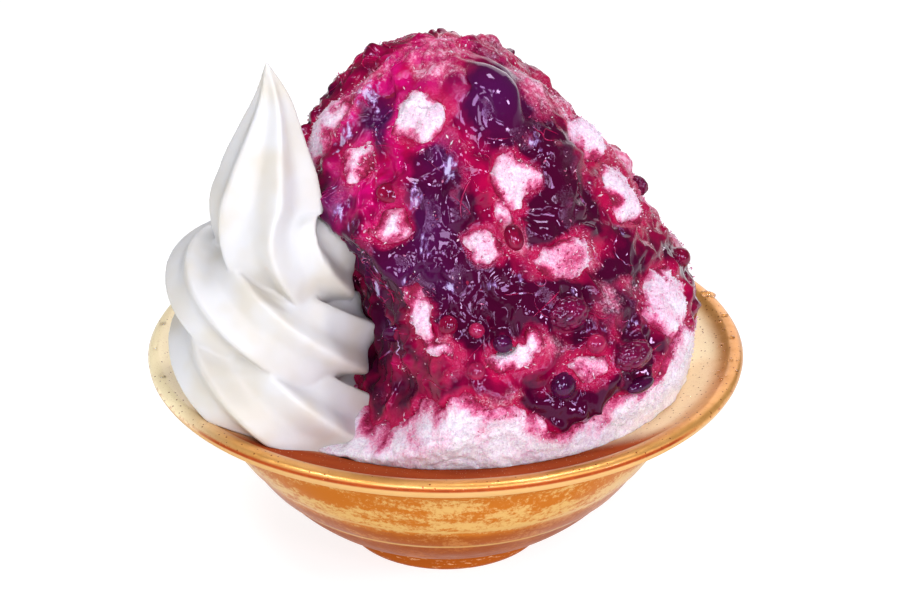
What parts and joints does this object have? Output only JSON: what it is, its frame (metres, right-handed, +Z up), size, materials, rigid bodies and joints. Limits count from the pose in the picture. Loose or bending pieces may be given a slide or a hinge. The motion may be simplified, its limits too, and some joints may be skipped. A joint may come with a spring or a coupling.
{
  "type": "shaved ice dessert",
  "caption": "Tall mound of shaved ice with glossy berry sauce and berries and a soft serve swirl, in a wide flared bowl with a round foot.",
  "frame": {"origin": "centre of the foot of the bowl, on the surface it stands on", "axes": "+Z up along the axis of the bowl, -Y the front, +X to the right seen from the front"},
  "size_m": [0.18, 0.18, 0.1633],
  "materials": {
    "gold_glaze": "glossy, gold rim, amber glaze",
    "shaved_ice": "fine snow, matte",
    "soft_serve": "satin",
    "berry_sauce": "wet, glossy",
    "dark_berry": "wet, glossy",
    "red_berry": "wet, glossy",
    "pink_berry": "wet, glossy"
  },
  "bodies": {
    "root": {"bowl": "gold_glaze", "shaved_ice": "shaved_ice", "soft_serve": "soft_serve", "berry_sauce": "berry_sauce", "dark_berry_top": "dark_berry", "dark_berry_front": "dark_berry", "dark_berry_mid": "dark_berry", "dark_berry_left": "dark_berry", "red_berry_mid": "red_berry", "red_berry_left": "red_berry", "red_berry_drop": "red_berry", "red_berry_right": "red_berry", "pink_berry_right": "pink_berry", "pink_berry_mid": "pink_berry", "pink_berry_low": "pink_berry", "berry_cluster_mid": "dark_berry", "berry_cluster_right": "dark_berry", "berry_piece_top": "red_berry", "berry_piece_low": "dark_berry"}
  },
  "joints": []
}
